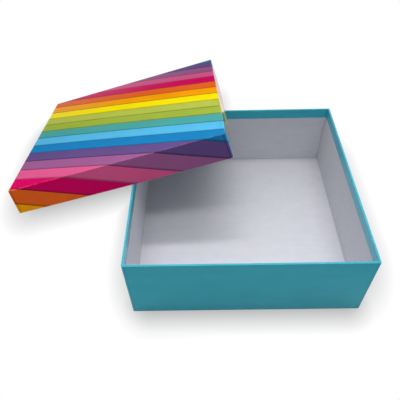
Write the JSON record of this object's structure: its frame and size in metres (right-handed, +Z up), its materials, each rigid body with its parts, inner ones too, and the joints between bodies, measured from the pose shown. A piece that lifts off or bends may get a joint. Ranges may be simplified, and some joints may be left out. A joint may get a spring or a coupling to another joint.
{
  "type": "lidded rigid gift box",
  "caption": "Square rigid gift box of paper-covered chipboard: an open base tray with its shallow lift-off lid taken off and leaning on two of the base's rims.",
  "frame": {"origin": "centre of the base's underside", "axes": "+Z up from the surface it stands on, +X to the right and -Y to the front of the base; the lid leans at its left and back"},
  "size_m": [0.405, 0.3824, 0.1444],
  "materials": {
    "base_lining": "matt white-grey lined chipboard",
    "lid_lining": "matt white-grey lined chipboard",
    "stay_paper": "matt brown gummed paper",
    "base_sheet": "smooth teal laminated paper",
    "lid_sheet": "glossy laminated paper with diagonal stripes in rainbow colours"
  },
  "bodies": {
    "root": {"base_board": "base_lining", "base_corner_stays": "stay_paper", "base_wrap": "base_sheet", "lid_board": "lid_lining", "lid_corner_stays": "stay_paper", "lid_wrap": "lid_sheet"}
  },
  "joints": []
}
